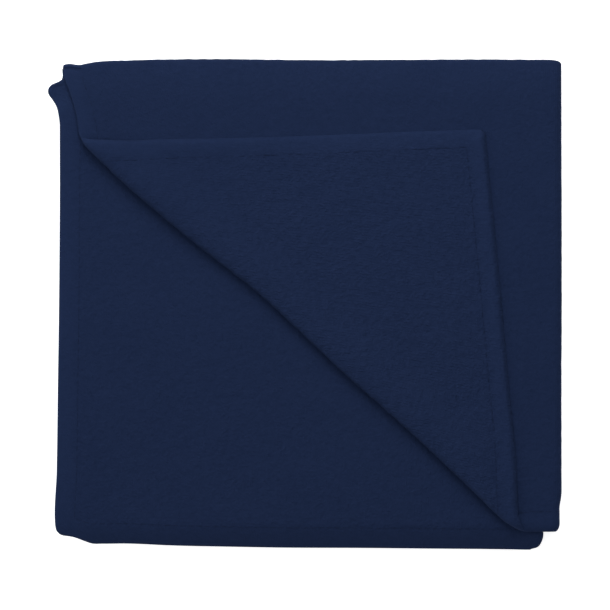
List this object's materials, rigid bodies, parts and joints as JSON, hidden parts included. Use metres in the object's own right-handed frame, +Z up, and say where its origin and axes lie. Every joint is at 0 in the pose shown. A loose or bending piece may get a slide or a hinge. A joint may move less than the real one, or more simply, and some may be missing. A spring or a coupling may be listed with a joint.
{
  "type": "folded quick dry towel",
  "caption": "Folded microfibre travel towel in a near square packet, with turned hems and one top corner folded back along a diagonal; the last fold and the corner open.",
  "frame": {"origin": "centre of the underside of the folded packet's box", "axes": "+Z up through the leaves, +Y towards the back edge where fold one lies, +X towards the right edge where the last fold lies"},
  "size_m": [0.2592, 0.2522, 0.0195],
  "materials": {
    "towel_cloth": "matte short-pile microfibre, navy",
    "hem_band": "matte, flattened double hem, navy",
    "seam_thread": "satin polyester thread, dark navy"
  },
  "bodies": {
    "lower_packet": {"back_fold_1_2": "towel_cloth", "back_fold_3_4": "towel_cloth", "front_hem_1": "hem_band", "front_hem_2": "hem_band", "front_hem_3": "hem_band", "front_hem_4": "hem_band", "front_stitch_1": "seam_thread", "front_stitch_2": "seam_thread", "front_stitch_3": "seam_thread", "front_stitch_4": "seam_thread", "leaf_1": "towel_cloth", "leaf_2": "towel_cloth", "leaf_3": "towel_cloth", "leaf_4": "towel_cloth", "left_fold_1_4": "towel_cloth", "left_fold_2_3": "towel_cloth", "left_fold_hem_1_4": "hem_band", "left_fold_hem_2_3": "hem_band", "right_fold_1_8": "towel_cloth", "right_fold_2_7": "towel_cloth", "right_fold_3_6": "towel_cloth", "right_fold_4_5": "towel_cloth", "right_fold_hem_1_8": "hem_band", "right_fold_hem_2_7": "hem_band", "right_fold_hem_3_6": "hem_band", "right_fold_hem_4_5": "hem_band"},
    "upper_packet": {"back_fold_5_6": "towel_cloth", "back_fold_7_8": "towel_cloth", "corner_bend": "towel_cloth", "front_hem_5": "hem_band", "front_hem_6": "hem_band", "front_hem_7": "hem_band", "front_stitch_5": "seam_thread", "front_stitch_6": "seam_thread", "front_stitch_7": "seam_thread", "leaf_5": "towel_cloth", "leaf_6": "towel_cloth", "leaf_7": "towel_cloth", "leaf_8": "towel_cloth", "side_hem_5": "hem_band", "side_hem_6": "hem_band", "side_hem_7": "hem_band", "side_hem_8": "hem_band", "side_stitch_5": "seam_thread", "side_stitch_6": "seam_thread", "side_stitch_7": "seam_thread", "side_stitch_8": "seam_thread"},
    "corner_flap": {"corner_hem_back": "hem_band", "corner_hem_side": "hem_band", "corner_stitch_back": "seam_thread", "corner_stitch_side": "seam_thread", "turned_corner": "towel_cloth"}
  },
  "joints": [
    {"name": "last_fold", "type": "hinge", "parent": "lower_packet", "child": "upper_packet", "pos_m": [0.12, 0, 0.00975], "axis": [0, 1, 0], "range_deg": [0, 179.5], "deforming": ["right_fold_1_8", "right_fold_2_7", "right_fold_3_6", "right_fold_4_5", "right_fold_hem_1_8", "right_fold_hem_2_7", "right_fold_hem_3_6", "right_fold_hem_4_5"]},
    {"name": "corner_fold", "type": "hinge", "parent": "upper_packet", "child": "corner_flap", "pos_m": [-0.00615, -0.01368, 0.01745], "axis": [0.7513, -0.66, 0], "range_deg": [0, 179.5], "deforming": ["corner_bend"]}
  ]
}
